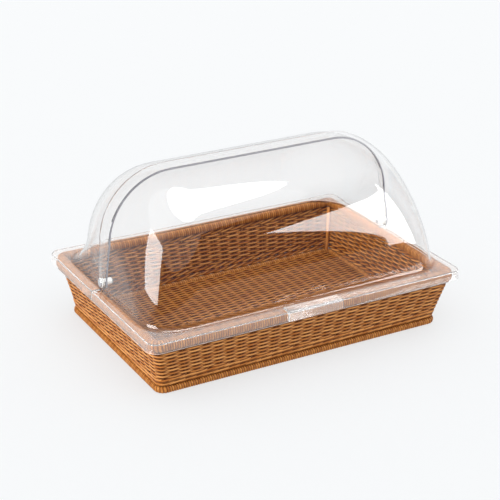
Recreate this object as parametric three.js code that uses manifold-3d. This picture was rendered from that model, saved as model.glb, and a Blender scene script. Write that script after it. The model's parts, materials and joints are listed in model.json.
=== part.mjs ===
// Roll top food cover on a woven tray basket.
// A fixed clear rear shell and a clear front lid stand on the basket's rim; the lid rolls up and
// back over the rear shell about two side pivots. Millimetres, +Z up, +X to the right, +Y to the
// back. The origin lies on the ground under the centre of the outline.

import * as THREE from 'three';
import { mergeVertices } from 'three/addons/utils/BufferGeometryUtils.js';
import Module from 'manifold-3d';

const wasm = await Module();
wasm.setup();

// Basket

const basketLength = 448; // over the top border, left to right
const basketWidth = 316; // over the top border, front to back
const basketHeight = 82; // from the ground to the top of the top border
const footInsetEnds = 13; // how far the foot border lies inside the top border at each end
const footInsetFront = 18; // the same at the front, and at the back
const basketCornerRadius = 14; // outer corners, seen from above
const topBorderWidth = 11;
const topBorderHeight = 12;
const footBorderWidth = 9;
const footBorderHeight = 9;
const weaveThickness = 4; // woven side wall, over the strands that swing out and in
const strandDepth = 2; // one strand of the side wall, from its inner to its outer face
const wallStakes = 88; // stakes all the way round that the side wall's rows swing past
const wallRows = 15; // rows between the waling at the foot and the waling at the top
const footWaling = 12.4; // height of the waling over the foot border
const topWaling = 6.2; // height of the waling under the top border
const floorThickness = 2; // between the mean faces of the woven floor
const floorLift = 4; // from the ground to the mean face under the woven floor
const floorPitch = 3.35; // from one strand of the floor to the next
const floorValley = 1.1; // depth between two strands of the floor
const cornerStakeRadius = 2.2;
const seatGap = 0.3; // between pieces that touch

// Clear shells

const sheetThickness = 2;
const skirtClearance = 4; // between the top border and the skirt that hangs around it
const skirtDrop = 12.5; // from the flange's top down to the skirt's lower edge
const skirtDraft = 1; // how far the skirt spreads on its way down
const flangeCornerRadius = 14; // outer corners of the flange, seen from above
const lidFlangeWidth = 17; // front flange, from the foot of the lid's wall to the outer edge
const lidEndFlangeWidth = 10; // end flanges of the lid, beside the pivots
const footFlare = 6; // how far the front and back walls curve out into the flange
const endFlare = 2.5; // how far the end walls curve out into the flange
const flareHeight = 6;
const shellClearance = 2; // running clearance between the lid and the rear shell
const pivotRise = 14.7; // from the flange's top up to the pivot axis
const pivotSetback = 4; // pivot axis behind the middle of the flange
const shoulderRadius = 88; // upper corners of the rear shell, seen from the front
const footCornerRadius = 42; // the same corners where they reach the flange
const rearEndDraft = 6; // how far the rear shell's end walls lean in towards the shoulder
const lidEndDraft = 4; // the same for the lid, so that it runs freer away from the pivots
const footEndDraft = 2; // the same for both near the flange
const pivotPadRadius = 10; // flat round pad of each end wall around the pivot
const lidSplitSetback = 10.2; // rear edge of the lid behind the pivot axis
const rearShellReach = 9; // front edge of the rear shell ahead of the pivot axis
const earDrop = 4; // how far below the axis the rear shell's ear starts to slant back
const earFootHeight = 1.5; // height over the flange at which the slanting edge ends

// Pivots

const pinRadius = 2.3;
const pinClearance = 0.3;
const pinHeadRadius = 5.5;
const pinHeadHeight = 2.6;
const pinHeadEdge = 1.2; // straight edge of the head below its crown
const sleeveRadius = 4.25;
const sleeveLength = 8.7;
const sleeveEdge = 0.6; // bevel on the sleeve's ends
const sleeveCapRadius = 3.2;
const sleeveCapHeight = 2;
const spacerRadius = 5.5;
const headWasherRadius = 6.5;
const headWasherThickness = 0.8;

// Handle

const handleLength = 80;
const handleDepth = 13; // over the flange, from its outer edge inwards
const handleThickness = 2.5;
const handleDrop = 11.5; // down the skirt, from the flange's top
const handleEdge = 0.8; // bevel along the handle's front edges

// Angles, in degrees, and shares

const lidFlareStart = 20; // angle from straight up at which the lid's corners begin to tighten
const rearFlareStart = 66; // the same for the rear shell, low enough for the opening lid
const rollSquarenessShare = 0.6; // 1 gives a round border section, less makes it squarer
const lidFootEasing = 2; // power with which the lid's corners tighten towards the flange
const rearFootEasing = 4; // the same for the rear shell

// Counts

const cornerSegments = 6;
const wallCornerSegments = 4;
const rollSides = 12;
const domeStep = 6; // degrees between two rows of a dome
const shoulderSegments = 10;
const endWallSegments = 2;
const spanSegments = 2;
const flareSegments = 3;
const roundSegments = 32;

// Sizes that follow from those above

const cut = sheetThickness; // overrun of every cutting body
const wallFoot = footBorderHeight + seatGap;
const wallTop = basketHeight - topBorderHeight - seatGap;
const coverLength = basketLength + 2 * (skirtClearance + sheetThickness);
const coverWidth = basketWidth + 2 * (skirtClearance + sheetThickness);
const flangeTop = basketHeight + seatGap + sheetThickness;
const pivotHeight = flangeTop + pivotRise;
const shellStep = sheetThickness + shellClearance; // from the rear shell out to the lid
const lidRadius = coverWidth / 2 - lidFlangeWidth - footFlare + pivotSetback;
const lidEnd = coverLength / 2 - lidEndFlangeWidth;
const rearRadius = lidRadius - shellStep;
const rearEnd = lidEnd - shellStep;
const domeTop = pivotHeight + lidRadius;
const lidForm = {
  radius: lidRadius,
  end: lidEnd,
  draft: lidEndDraft,
  flareStart: lidFlareStart,
  easing: lidFootEasing,
};
const rearForm = {
  radius: rearRadius,
  end: rearEnd,
  draft: rearEndDraft,
  flareStart: rearFlareStart,
  easing: rearFootEasing,
};
const boreRadius = pinRadius + pinClearance;
const domeFoot = flangeTop + flareHeight; // where a shell's dome is divided from its flange
const skirtTop = flangeTop - sheetThickness; // where its flange is divided from its skirt
const handleReach = seatGap + skirtDraft + handleThickness; // how far the handle stands out
const assemblyShift = (handleReach - skirtDraft) / 2; // centres the outline over the origin

// Finishes

const wicker = new THREE.MeshStandardMaterial({ color: 0xb4702f, roughness: 0.6, metalness: 0 });
const wickerBorder = new THREE.MeshStandardMaterial({ color: 0xa5652e, roughness: 0.6, metalness: 0 });
const clearSheet = new THREE.MeshStandardMaterial({
  color: 0xeef2f3, roughness: 0.08, metalness: 0, transparent: true, opacity: 0.25,
});
const frostedClear = new THREE.MeshStandardMaterial({
  color: 0xf1f1ef, roughness: 0.35, metalness: 0, transparent: true, opacity: 0.6,
});
const whiteNylon = new THREE.MeshStandardMaterial({ color: 0xf0efec, roughness: 0.4, metalness: 0 });
const greyCap = new THREE.MeshStandardMaterial({ color: 0x6d6865, roughness: 0.5, metalness: 0 });
const polishedPin = new THREE.MeshStandardMaterial({ color: 0xc9ccce, roughness: 0.25, metalness: 1 });

// Closed bodies from rows of points

/** A geometry from points and triangles, turned so that its faces point outwards. */
function closedBody(points, triangles) {
  let volume = 0;
  for (const [a, b, c] of triangles) {
    volume += points[a].dot(new THREE.Vector3().crossVectors(points[b], points[c]));
  }
  const turned = volume < 0 ? triangles.map(([a, b, c]) => [a, c, b]) : triangles;
  const geometry = new THREE.BufferGeometry().setFromPoints(points);
  geometry.setIndex(turned.flat());
  geometry.computeVertexNormals();
  return geometry;
}

/** Two triangles for each cell between two rows; wrap joins the last column to the first. */
function stripBetween(triangles, rowA, rowB, count, wrap) {
  const cells = wrap ? count : count - 1;
  for (let i = 0; i < cells; i += 1) {
    const next = (i + 1) % count;
    triangles.push([rowA + i, rowA + next, rowB + next], [rowA + i, rowB + next, rowB + i]);
  }
}

/** A rounded rectangle seen from above, as points at one height. */
function roundedLoop(halfLength, halfWidth, radius, height) {
  const points = [];
  const centres = [[1, 1], [-1, 1], [-1, -1], [1, -1]];
  centres.forEach(([signX, signY], corner) => {
    for (let k = 0; k <= cornerSegments; k += 1) {
      const angle = (corner + k / cornerSegments) * Math.PI / 2;
      points.push(new THREE.Vector3(
        signX * (halfLength - radius) + radius * Math.cos(angle),
        signY * (halfWidth - radius) + radius * Math.sin(angle),
        height,
      ));
    }
  });
  return points;
}

/** A ring whose section runs from loop to loop and back to the first. */
function ringOfLoops(loops) {
  const count = loops[0].length;
  const triangles = [];
  loops.forEach((loop, k) => {
    stripBetween(triangles, k * count, ((k + 1) % loops.length) * count, count, true);
  });
  return closedBody(loops.flat(), triangles);
}

/** A solid between a first and a last loop, closed by flat ends. */
function solidOfLoops(loops) {
  const count = loops[0].length;
  const last = (loops.length - 1) * count;
  const triangles = [];
  for (let k = 0; k < loops.length - 1; k += 1) {
    stripBetween(triangles, k * count, (k + 1) * count, count, true);
  }
  for (let i = 1; i < count - 1; i += 1) {
    triangles.push([0, i + 1, i], [last, last + i, last + i + 1]);
  }
  return closedBody(loops.flat(), triangles);
}

// Booleans

/** A geometry as a solid that can be joined and cut. */
function toSolid(geometry) {
  const bare = geometry.clone();
  bare.deleteAttribute('normal');
  bare.deleteAttribute('uv');
  const merged = mergeVertices(bare);
  const triangles = [];
  const index = merged.index.array;
  for (let i = 0; i < index.length; i += 3) {
    const [a, b, c] = [index[i], index[i + 1], index[i + 2]];
    if (a !== b && b !== c && c !== a) triangles.push(a, b, c);
  }
  return new wasm.Manifold(new wasm.Mesh({
    numProp: 3,
    vertProperties: new Float32Array(merged.attributes.position.array),
    triVerts: new Uint32Array(triangles),
  }));
}

/** A solid's surface as a geometry. */
function toGeometry(solid) {
  const mesh = solid.getMesh();
  const geometry = new THREE.BufferGeometry();
  geometry.setAttribute('position', new THREE.BufferAttribute(mesh.vertProperties, 3));
  geometry.setIndex(new THREE.BufferAttribute(mesh.triVerts, 1));
  geometry.computeVertexNormals();
  return geometry;
}

/** A prism along X with an outline of [y, z] points, reaching past both ends of the cover. */
function prismAlongX(outline, halfLength = coverLength / 2 + cut) {
  const shape = new THREE.Shape(outline.map(([y, z]) => new THREE.Vector2(y, z)));
  const geometry = new THREE.ExtrudeGeometry(shape, { depth: 2 * halfLength, bevelEnabled: false });
  geometry.translate(0, 0, -halfLength);
  geometry.applyMatrix4(new THREE.Matrix4().makeBasis(
    new THREE.Vector3(0, 1, 0),
    new THREE.Vector3(0, 0, 1),
    new THREE.Vector3(1, 0, 0),
  ));
  return geometry;
}

/** A round bar about the pivot axis, reaching past both ends of the cover. */
function barOnPivotAxis(radius) {
  const bar = new THREE.CylinderGeometry(radius, radius, coverLength + 2 * cut, roundSegments);
  bar.rotateZ(Math.PI / 2);
  bar.translate(0, pivotSetback, pivotHeight);
  return toSolid(bar);
}

/** A turned piece about X, from [distance along X, radius] points. */
function turnedAlongX(profile) {
  const points = profile.map(([along, radius]) => new THREE.Vector2(radius, along));
  const geometry = new THREE.LatheGeometry(points, roundSegments);
  geometry.rotateZ(-Math.PI / 2);
  return geometry;
}

// Basket pieces

/** A wrapped border: a flattened roll that runs around the basket. */
function borderRoll(insetEnds, insetSides, bottom, width, height) {
  const half = Math.PI / rollSides;
  const round = (value) => Math.sign(value) * Math.abs(value) ** rollSquarenessShare;
  const loops = [];
  for (let k = 0; k < rollSides; k += 1) {
    const angle = half * (2 * k + 1);
    const inset = (width / 2) * (1 - round(Math.cos(angle)) / round(Math.cos(half)));
    const height0 = bottom + (height / 2) * (1 + round(Math.sin(angle)) / round(Math.cos(half)));
    loops.push(roundedLoop(
      basketLength / 2 - insetEnds - inset,
      basketWidth / 2 - insetSides - inset,
      basketCornerRadius - inset,
      height0,
    ));
  }
  return ringOfLoops(loops);
}

/**
 * The side wall's middle line at a share of its height: a place at each stake of the straight
 * sides and a few round each corner. Stakes are counted from the middle of the front to the right.
 */
function wallPlaces(share) {
  const mix = (atFoot, atTop) => atFoot + (atTop - atFoot) * share;
  const radius = basketCornerRadius - mix(footBorderWidth, topBorderWidth) / 2;
  const reachX = basketLength / 2 - mix(footInsetEnds, 0) - basketCornerRadius;
  const reachY = basketWidth / 2 - mix(footInsetFront, 0) - basketCornerRadius;
  const height = mix(wallFoot, wallTop);
  const arc = (radius * Math.PI) / 2;
  const pitch = (4 * (reachX + reachY + arc)) / wallStakes;
  const places = [];
  let along = -reachX;
  [[1, -1], [1, 1], [-1, 1], [-1, -1]].forEach(([signX, signY], side) => {
    const centre = new THREE.Vector3(signX * reachX, signY * reachY, height);
    const turn = ((side - 1) * Math.PI) / 2;
    const length = 2 * (side % 2 ? reachY : reachX);
    const directionAt = (angle) => new THREE.Vector3(Math.cos(angle), Math.sin(angle), 0);
    const onward = directionAt(turn + Math.PI / 2);
    const addPlace = (angle, before, stake) => {
      const outward = directionAt(angle);
      const point = centre.clone().addScaledVector(outward, radius).addScaledVector(onward, -before);
      places.push({ point, outward, stake });
    };
    for (let stake = Math.ceil(along / pitch); stake * pitch <= along + length; stake += 1) {
      addPlace(turn, along + length - stake * pitch, stake);
    }
    along += length;
    for (let k = 0; k <= wallCornerSegments; k += 1) {
      const cornerShare = k / wallCornerSegments;
      addPlace(turn + (cornerShare * Math.PI) / 2, 0, (along + arc * cornerShare) / pitch);
    }
    along += arc;
  });
  return places;
}

/** The woven side wall: plain waling below and above, and rows that swing past the stakes by turns. */
function sideWeave() {
  const swing = (weaveThickness - strandDepth) / 2;
  const rowsFrom = footWaling / (wallTop - wallFoot);
  const rowsTo = 1 - topWaling / (wallTop - wallFoot);
  const loopAt = (share, offsetAt) => wallPlaces(share).map(({ point, outward, stake }) => (
    point.addScaledVector(outward, offsetAt(stake))
  ));
  const faceLoops = (side) => {
    const plainLoop = (share) => loopAt(share, () => (side * weaveThickness) / 2);
    const loops = [plainLoop(0), plainLoop(rowsFrom)];
    // The first and the last row run into the waling.
    for (let row = 1; row < wallRows - 1; row += 1) {
      const share = rowsFrom + ((rowsTo - rowsFrom) * (row + 0.5)) / wallRows;
      const reach = row % 2 ? -swing : swing;
      const offsetAt = (stake) => reach * Math.cos(Math.PI * stake) + (side * strandDepth) / 2;
      loops.push(loopAt(share, offsetAt));
    }
    return loops.concat([plainLoop(rowsTo), plainLoop(1)]);
  };
  return ringOfLoops(faceLoops(1).concat(faceLoops(-1).reverse()));
}

/** The woven floor: a panel with a ridge along each of its strands. */
function floorWeave() {
  const inset = footBorderWidth + seatGap;
  const halfLength = basketLength / 2 - footInsetEnds - inset;
  const halfWidth = basketWidth / 2 - footInsetFront - inset;
  const top = floorLift + floorThickness;
  const strands = Math.round((2 * halfWidth) / floorPitch);
  const pitch = (2 * halfWidth) / strands;
  const outline = [[halfWidth, floorLift], [-halfWidth, floorLift], [-halfWidth, top - floorValley]];
  for (let strand = 0; strand < strands; strand += 1) {
    outline.push([-halfWidth + (strand + 0.5) * pitch, top]);
    outline.push([-halfWidth + (strand + 1) * pitch, top - floorValley]);
  }
  const rounded = (height) => roundedLoop(halfLength, halfWidth, basketCornerRadius - inset, height);
  const blank = toSolid(solidOfLoops([rounded(floorLift - cut), rounded(top + cut)]));
  return toGeometry(toSolid(prismAlongX(outline, halfLength + cut)).intersect(blank));
}

/** A leaning stake inside one corner of the side wall. */
function cornerStake(signX, signY) {
  const diagonal = Math.SQRT1_2;
  const circle = (atTop) => {
    const depth = (atTop ? topBorderWidth : footBorderWidth) / 2 + weaveThickness / 2;
    const reach = basketCornerRadius - depth - seatGap - cornerStakeRadius;
    const x = basketLength / 2 - (atTop ? 0 : footInsetEnds) - basketCornerRadius + reach * diagonal;
    const y = basketWidth / 2 - (atTop ? 0 : footInsetFront) - basketCornerRadius + reach * diagonal;
    const z = atTop ? wallTop : wallFoot;
    const points = [];
    for (let k = 0; k < rollSides; k += 1) {
      const angle = (2 * Math.PI * k) / rollSides;
      points.push(new THREE.Vector3(
        signX * x + cornerStakeRadius * Math.cos(angle),
        signY * y + cornerStakeRadius * Math.sin(angle),
        z,
      ));
    }
    return points;
  };
  return solidOfLoops([circle(false), circle(true)]);
}

// Clear shells

/**
 * Half an outline around the pivot axis, as [x, distance from the axis] points from the left end
 * to the right end: end wall with its flat pad, rounded corner, straight span, and back again.
 */
function outlineAcross(endAtPad, endAtCorner, depth, corner) {
  const quarter = [[endAtPad, 0], [endAtPad, pivotPadRadius]];
  for (let k = 1; k <= endWallSegments; k += 1) {
    const share = k / endWallSegments;
    quarter.push([
      endAtPad + (endAtCorner - endAtPad) * share,
      pivotPadRadius + (depth - corner - pivotPadRadius) * share,
    ]);
  }
  for (let k = 1; k <= shoulderSegments; k += 1) {
    const angle = (k / shoulderSegments) * Math.PI / 2;
    quarter.push([
      endAtCorner - corner + corner * Math.cos(angle),
      depth - corner + corner * Math.sin(angle),
    ]);
  }
  for (let k = 1; k <= spanSegments; k += 1) {
    quarter.push([(endAtCorner - corner) * (1 - k / spanSegments), depth]);
  }
  const left = quarter.map(([x, distance]) => [-x, distance]);
  return left.concat(quarter.slice(0, -1).reverse());
}

/**
 * The space under one face of a clear shell: the dome about the pivot axis, its curved foot, the
 * flange and the skirt. inset moves the face inwards, so 0 gives the outer face.
 */
function domeSpace({ radius, end, draft, flareStart, easing }, inset) {
  const face = radius - inset;
  const faceEnd = end - inset;
  const step = radius - rearRadius; // the lid's corners are wider than the rear shell's
  const rows = [];
  // Below the axis the walls go straight down, and their drop counts on as an angle.
  const angleAtHeight = (height) => 90 + THREE.MathUtils.radToDeg((pivotHeight - height) / radius);
  const footShare = (angle) => (
    Math.max((angle - flareStart) / (angleAtHeight(flangeTop) - flareStart), 0) ** easing
  );
  const cornerAt = (share) => (
    shoulderRadius + (footCornerRadius - shoulderRadius) * share + step - inset
  );
  const draftAt = (share) => draft + (footEndDraft - draft) * share;
  const domeRow = (angle) => {
    const share = footShare(Math.abs(angle));
    const turn = THREE.MathUtils.degToRad(angle);
    return outlineAcross(faceEnd, faceEnd - draftAt(share), face, cornerAt(share))
      .map(([x, distance]) => new THREE.Vector3(
        x,
        pivotSetback + distance * Math.sin(turn),
        pivotHeight + distance * Math.cos(turn),
      ));
  };
  const lowRow = (side, height, endAtPad, endAtCorner, depth, corner) => (
    outlineAcross(endAtPad, endAtCorner, depth, corner).map(([x, distance]) => (
      new THREE.Vector3(x, pivotSetback + side * distance, height)
    ))
  );
  const footRows = (side) => {
    const foot = [];
    for (let k = 0; k <= flareSegments; k += 1) {
      const angle = (k / flareSegments) * Math.PI / 2;
      const spread = 1 - Math.cos(angle);
      const height = flangeTop + flareHeight * (1 - Math.sin(angle));
      const share = footShare(angleAtHeight(height));
      foot.push(lowRow(
        side,
        height - inset,
        faceEnd + endFlare * spread,
        faceEnd - draftAt(share) * (1 - spread) + endFlare * spread,
        face + footFlare * spread,
        cornerAt(share) + footFlare * spread,
      ));
    }
    const edge = (height, outset) => lowRow(
      side,
      height,
      coverLength / 2 - inset + outset,
      coverLength / 2 - inset + outset,
      coverWidth / 2 - side * pivotSetback - inset + outset,
      flangeCornerRadius - inset + outset,
    );
    foot.push(edge(flangeTop - inset, 0));
    foot.push(edge(flangeTop - skirtDrop, skirtDraft));
    if (inset > 0) foot.push(edge(flangeTop - skirtDrop - cut, skirtDraft));
    return foot;
  };
  rows.push(...footRows(-1).reverse());
  for (let angle = -90; angle <= 90; angle += domeStep) rows.push(domeRow(angle));
  rows.push(...footRows(1));
  const count = rows[0].length;
  const triangles = [];
  for (let k = 0; k < rows.length - 1; k += 1) {
    stripBetween(triangles, k * count, (k + 1) * count, count, false);
  }
  stripBetween(triangles, (rows.length - 1) * count, 0, count, false);
  return toSolid(closedBody(rows.flat(), triangles));
}

/** A whole clear shell, front and back, before it is cut to its own half. */
function wholeShell(form) {
  const outer = domeSpace(form, 0);
  const inner = domeSpace(form, sheetThickness);
  return outer.subtract(inner).subtract(barOnPivotAxis(boreRadius));
}

const lidRearEdge = pivotSetback + lidSplitSetback;
const far = coverWidth + cut; // beyond every edge of the cover
const low = flangeTop - skirtDrop - cut;
const high = domeTop + cut;

/** The front lid: everything ahead of its rear edge, with its flange's tails kept off the rim. */
function frontShell() {
  const half = toSolid(prismAlongX([[-far, low], [lidRearEdge, low], [lidRearEdge, high], [-far, high]]));
  const lid = wholeShell(lidForm).intersect(half);
  const tailRoom = toSolid(prismAlongX([
    [pivotSetback, basketHeight],
    [lidRearEdge + cut, basketHeight],
    [lidRearEdge + cut, domeFoot],
    [pivotSetback, domeFoot],
  ], basketLength / 2 + seatGap));
  const tailSweep = barOnPivotAxis(pivotHeight - basketHeight - seatGap);
  return lid.subtract(tailRoom.subtract(tailSweep));
}

/** The rear shell: its flange starts behind the lid's, and its ears reach forward past the pivots. */
function rearShell() {
  const flangeStart = lidRearEdge + seatGap;
  const frontEdge = pivotSetback - rearShellReach;
  const half = toSolid(prismAlongX([
    [flangeStart, low],
    [far, low],
    [far, high],
    [frontEdge, high],
    [frontEdge, pivotHeight - earDrop],
    [flangeStart, flangeTop + earFootHeight],
  ]));
  return wholeShell(rearForm).intersect(half);
}

/** The part of a clear shell between two heights. */
function layerOf(shell, from, to) {
  const layer = toSolid(prismAlongX([[-far, from], [far, from], [far, to], [-far, to]]));
  return toGeometry(shell.intersect(layer));
}

/** The finger lip along the front of the lid: it lies on the flange and hangs before the skirt. */
function frontHandle() {
  const edge = -coverWidth / 2;
  const under = flangeTop + seatGap;
  const top = under + handleThickness;
  const lowerEdge = flangeTop - handleDrop;
  const front = edge - handleReach;
  const draftAt = (height) => skirtDraft * (flangeTop - height) / skirtDrop;
  return prismAlongX([
    [edge + handleDepth, under],
    [edge + handleDepth, top - handleEdge],
    [edge + handleDepth - handleEdge, top],
    [front + handleEdge, top],
    [front, top - handleEdge],
    [front, lowerEdge + handleEdge],
    [front + handleEdge, lowerEdge],
    [edge - seatGap - draftAt(lowerEdge), lowerEdge],
    [edge - seatGap, under],
  ], handleLength / 2);
}

// Pivot pieces, drawn for the right end with X running outwards

const sleeveOuterEnd = rearEnd - sheetThickness - seatGap;
const sleeveInnerEnd = sleeveOuterEnd - sleeveLength;
const spacerStart = rearEnd + seatGap;
const spacerEnd = lidEnd - sheetThickness - seatGap;
const headWasherStart = lidEnd + seatGap;
const headWasherEnd = headWasherStart + headWasherThickness;
const headStart = headWasherEnd + seatGap;

function washer(from, to, radius) {
  return turnedAlongX([
    [from, boreRadius], [from, radius], [to, radius], [to, boreRadius], [from, boreRadius],
  ]);
}

function pivotSleeve() {
  return turnedAlongX([
    [sleeveInnerEnd, boreRadius],
    [sleeveInnerEnd, sleeveRadius - sleeveEdge],
    [sleeveInnerEnd + sleeveEdge, sleeveRadius],
    [sleeveOuterEnd - sleeveEdge, sleeveRadius],
    [sleeveOuterEnd, sleeveRadius - sleeveEdge],
    [sleeveOuterEnd, boreRadius],
    [sleeveInnerEnd, boreRadius],
  ]);
}

function sleeveCap() {
  const outer = sleeveInnerEnd - seatGap;
  const inner = outer - sleeveCapHeight;
  return turnedAlongX([
    [inner, 0],
    [inner, sleeveCapRadius - sleeveEdge],
    [inner + sleeveEdge, sleeveCapRadius],
    [outer, sleeveCapRadius],
    [outer, 0],
  ]);
}

function pivotPin() {
  const shaftStart = sleeveInnerEnd;
  return turnedAlongX([
    [shaftStart, 0],
    [shaftStart, pinRadius],
    [headStart, pinRadius],
    [headStart, pinHeadRadius],
    [headStart + pinHeadEdge, pinHeadRadius],
    [headStart + (pinHeadHeight + pinHeadEdge) / 2, pinHeadRadius * Math.cos(Math.PI / 6)],
    [headStart + pinHeadHeight, pinHeadRadius / 2],
    [headStart + pinHeadHeight, 0],
  ]);
}

// Assembly

const assembly = new THREE.Group();
assembly.position.y = assemblyShift;

function addPiece(parent, name, geometry, material) {
  const mesh = new THREE.Mesh(geometry, material);
  mesh.name = name;
  parent.add(mesh);
}

/** One clear moulding as three simple nodes: its dome, its flange and its skirt. */
function addShell(parent, name, shell) {
  addPiece(parent, `${name}_shell`, layerOf(shell, domeFoot + seatGap, high), clearSheet);
  addPiece(parent, `${name}_flange`, layerOf(shell, skirtTop, domeFoot), clearSheet);
  addPiece(parent, `${name}_skirt`, layerOf(shell, low, skirtTop - seatGap), clearSheet);
}

const basket = new THREE.Group();
assembly.add(basket);
addPiece(basket, 'floor_weave', floorWeave(), wicker);
addPiece(basket, 'side_weave', sideWeave(), wicker);
addPiece(
  basket,
  'top_border',
  borderRoll(0, 0, basketHeight - topBorderHeight, topBorderWidth, topBorderHeight),
  wickerBorder,
);
addPiece(
  basket,
  'foot_border',
  borderRoll(footInsetEnds, footInsetFront, 0, footBorderWidth, footBorderHeight),
  wickerBorder,
);
for (const [signX, sideName] of [[-1, 'left'], [1, 'right']]) {
  for (const [signY, endName] of [[-1, 'front'], [1, 'rear']]) {
    addPiece(basket, `corner_stake_${endName}_${sideName}`, cornerStake(signX, signY), wicker);
  }
}

const cover = new THREE.Group();
assembly.add(cover);
addShell(cover, 'rear', rearShell());

const lid = new THREE.Group();
cover.add(lid);
addShell(lid, 'front', frontShell());
addPiece(lid, 'front_handle', frontHandle(), frostedClear);

for (const [turn, sideName] of [[Math.PI, 'left'], [0, 'right']]) {
  const pivot = new THREE.Group();
  pivot.position.set(0, pivotSetback, pivotHeight);
  pivot.rotation.z = turn;
  cover.add(pivot);
  addPiece(pivot, `pivot_pin_${sideName}`, pivotPin(), polishedPin);
  addPiece(pivot, `pivot_sleeve_${sideName}`, pivotSleeve(), whiteNylon);
  addPiece(pivot, `sleeve_cap_${sideName}`, sleeveCap(), greyCap);
  addPiece(pivot, `spacer_washer_${sideName}`, washer(spacerStart, spacerEnd, spacerRadius), whiteNylon);
  addPiece(
    pivot,
    `head_washer_${sideName}`,
    washer(headWasherStart, headWasherEnd, headWasherRadius),
    whiteNylon,
  );
}

export default assembly;
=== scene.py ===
"""Looks of a roll top food cover on a woven tray basket.

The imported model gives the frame: where the basket, the cover and the lid are, and how they move.
This script weaves the basket strand by strand, forms the two clear shells as smooth mouldings,
turns the small pivot pieces and sets up a pale studio. Lengths are metres, +Z is up, +X is right.
"""

import json
import logging
import math
from dataclasses import dataclass, field
from enum import Enum
from functools import cache
from typing import Callable, Iterator, Sequence

import bmesh
import bpy
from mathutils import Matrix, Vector


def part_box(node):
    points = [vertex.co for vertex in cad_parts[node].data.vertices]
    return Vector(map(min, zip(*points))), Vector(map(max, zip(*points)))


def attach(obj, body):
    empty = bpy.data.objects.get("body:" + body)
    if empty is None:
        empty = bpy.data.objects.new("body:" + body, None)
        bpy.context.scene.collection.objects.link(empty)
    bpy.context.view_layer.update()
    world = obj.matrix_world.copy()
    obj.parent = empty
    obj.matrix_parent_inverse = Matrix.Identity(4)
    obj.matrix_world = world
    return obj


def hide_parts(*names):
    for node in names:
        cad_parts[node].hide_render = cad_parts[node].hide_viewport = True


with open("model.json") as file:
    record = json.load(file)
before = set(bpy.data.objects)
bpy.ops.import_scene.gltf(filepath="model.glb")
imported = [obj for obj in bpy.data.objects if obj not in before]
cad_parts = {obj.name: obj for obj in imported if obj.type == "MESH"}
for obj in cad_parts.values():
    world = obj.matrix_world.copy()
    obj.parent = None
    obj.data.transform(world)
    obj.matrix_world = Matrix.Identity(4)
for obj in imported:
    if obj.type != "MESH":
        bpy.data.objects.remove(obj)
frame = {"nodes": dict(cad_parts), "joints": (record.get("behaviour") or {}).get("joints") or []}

log = logging.getLogger("roll_top_cover")

MM = 0.001
TURN = 2 * math.pi
UP = Vector((0, 0, 1))
# Points nearer to each other than the first are merged, and nearer to a cut than the second lie on it
MERGE_REACH = 0.002 * MM
CUT_REACH = 0.001 * MM

Colour = tuple[float, float, float]
Profile = Sequence[tuple[float, float]]
Socket = bpy.types.NodeSocket
Value = float | Sequence[float] | Socket


class Body(Enum):
    """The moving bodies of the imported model."""

    BASKET = "basket"
    COVER = "cover"
    LID = "front_lid"


class End(Enum):
    """The left and the right end of the cover, with the sign of X there."""

    LEFT = -1
    RIGHT = 1


def shares(steps: int) -> list[float]:
    """The shares of a whole from 0 to 1, in even steps."""
    return [step / steps for step in range(steps + 1)]


# Materials


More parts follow.
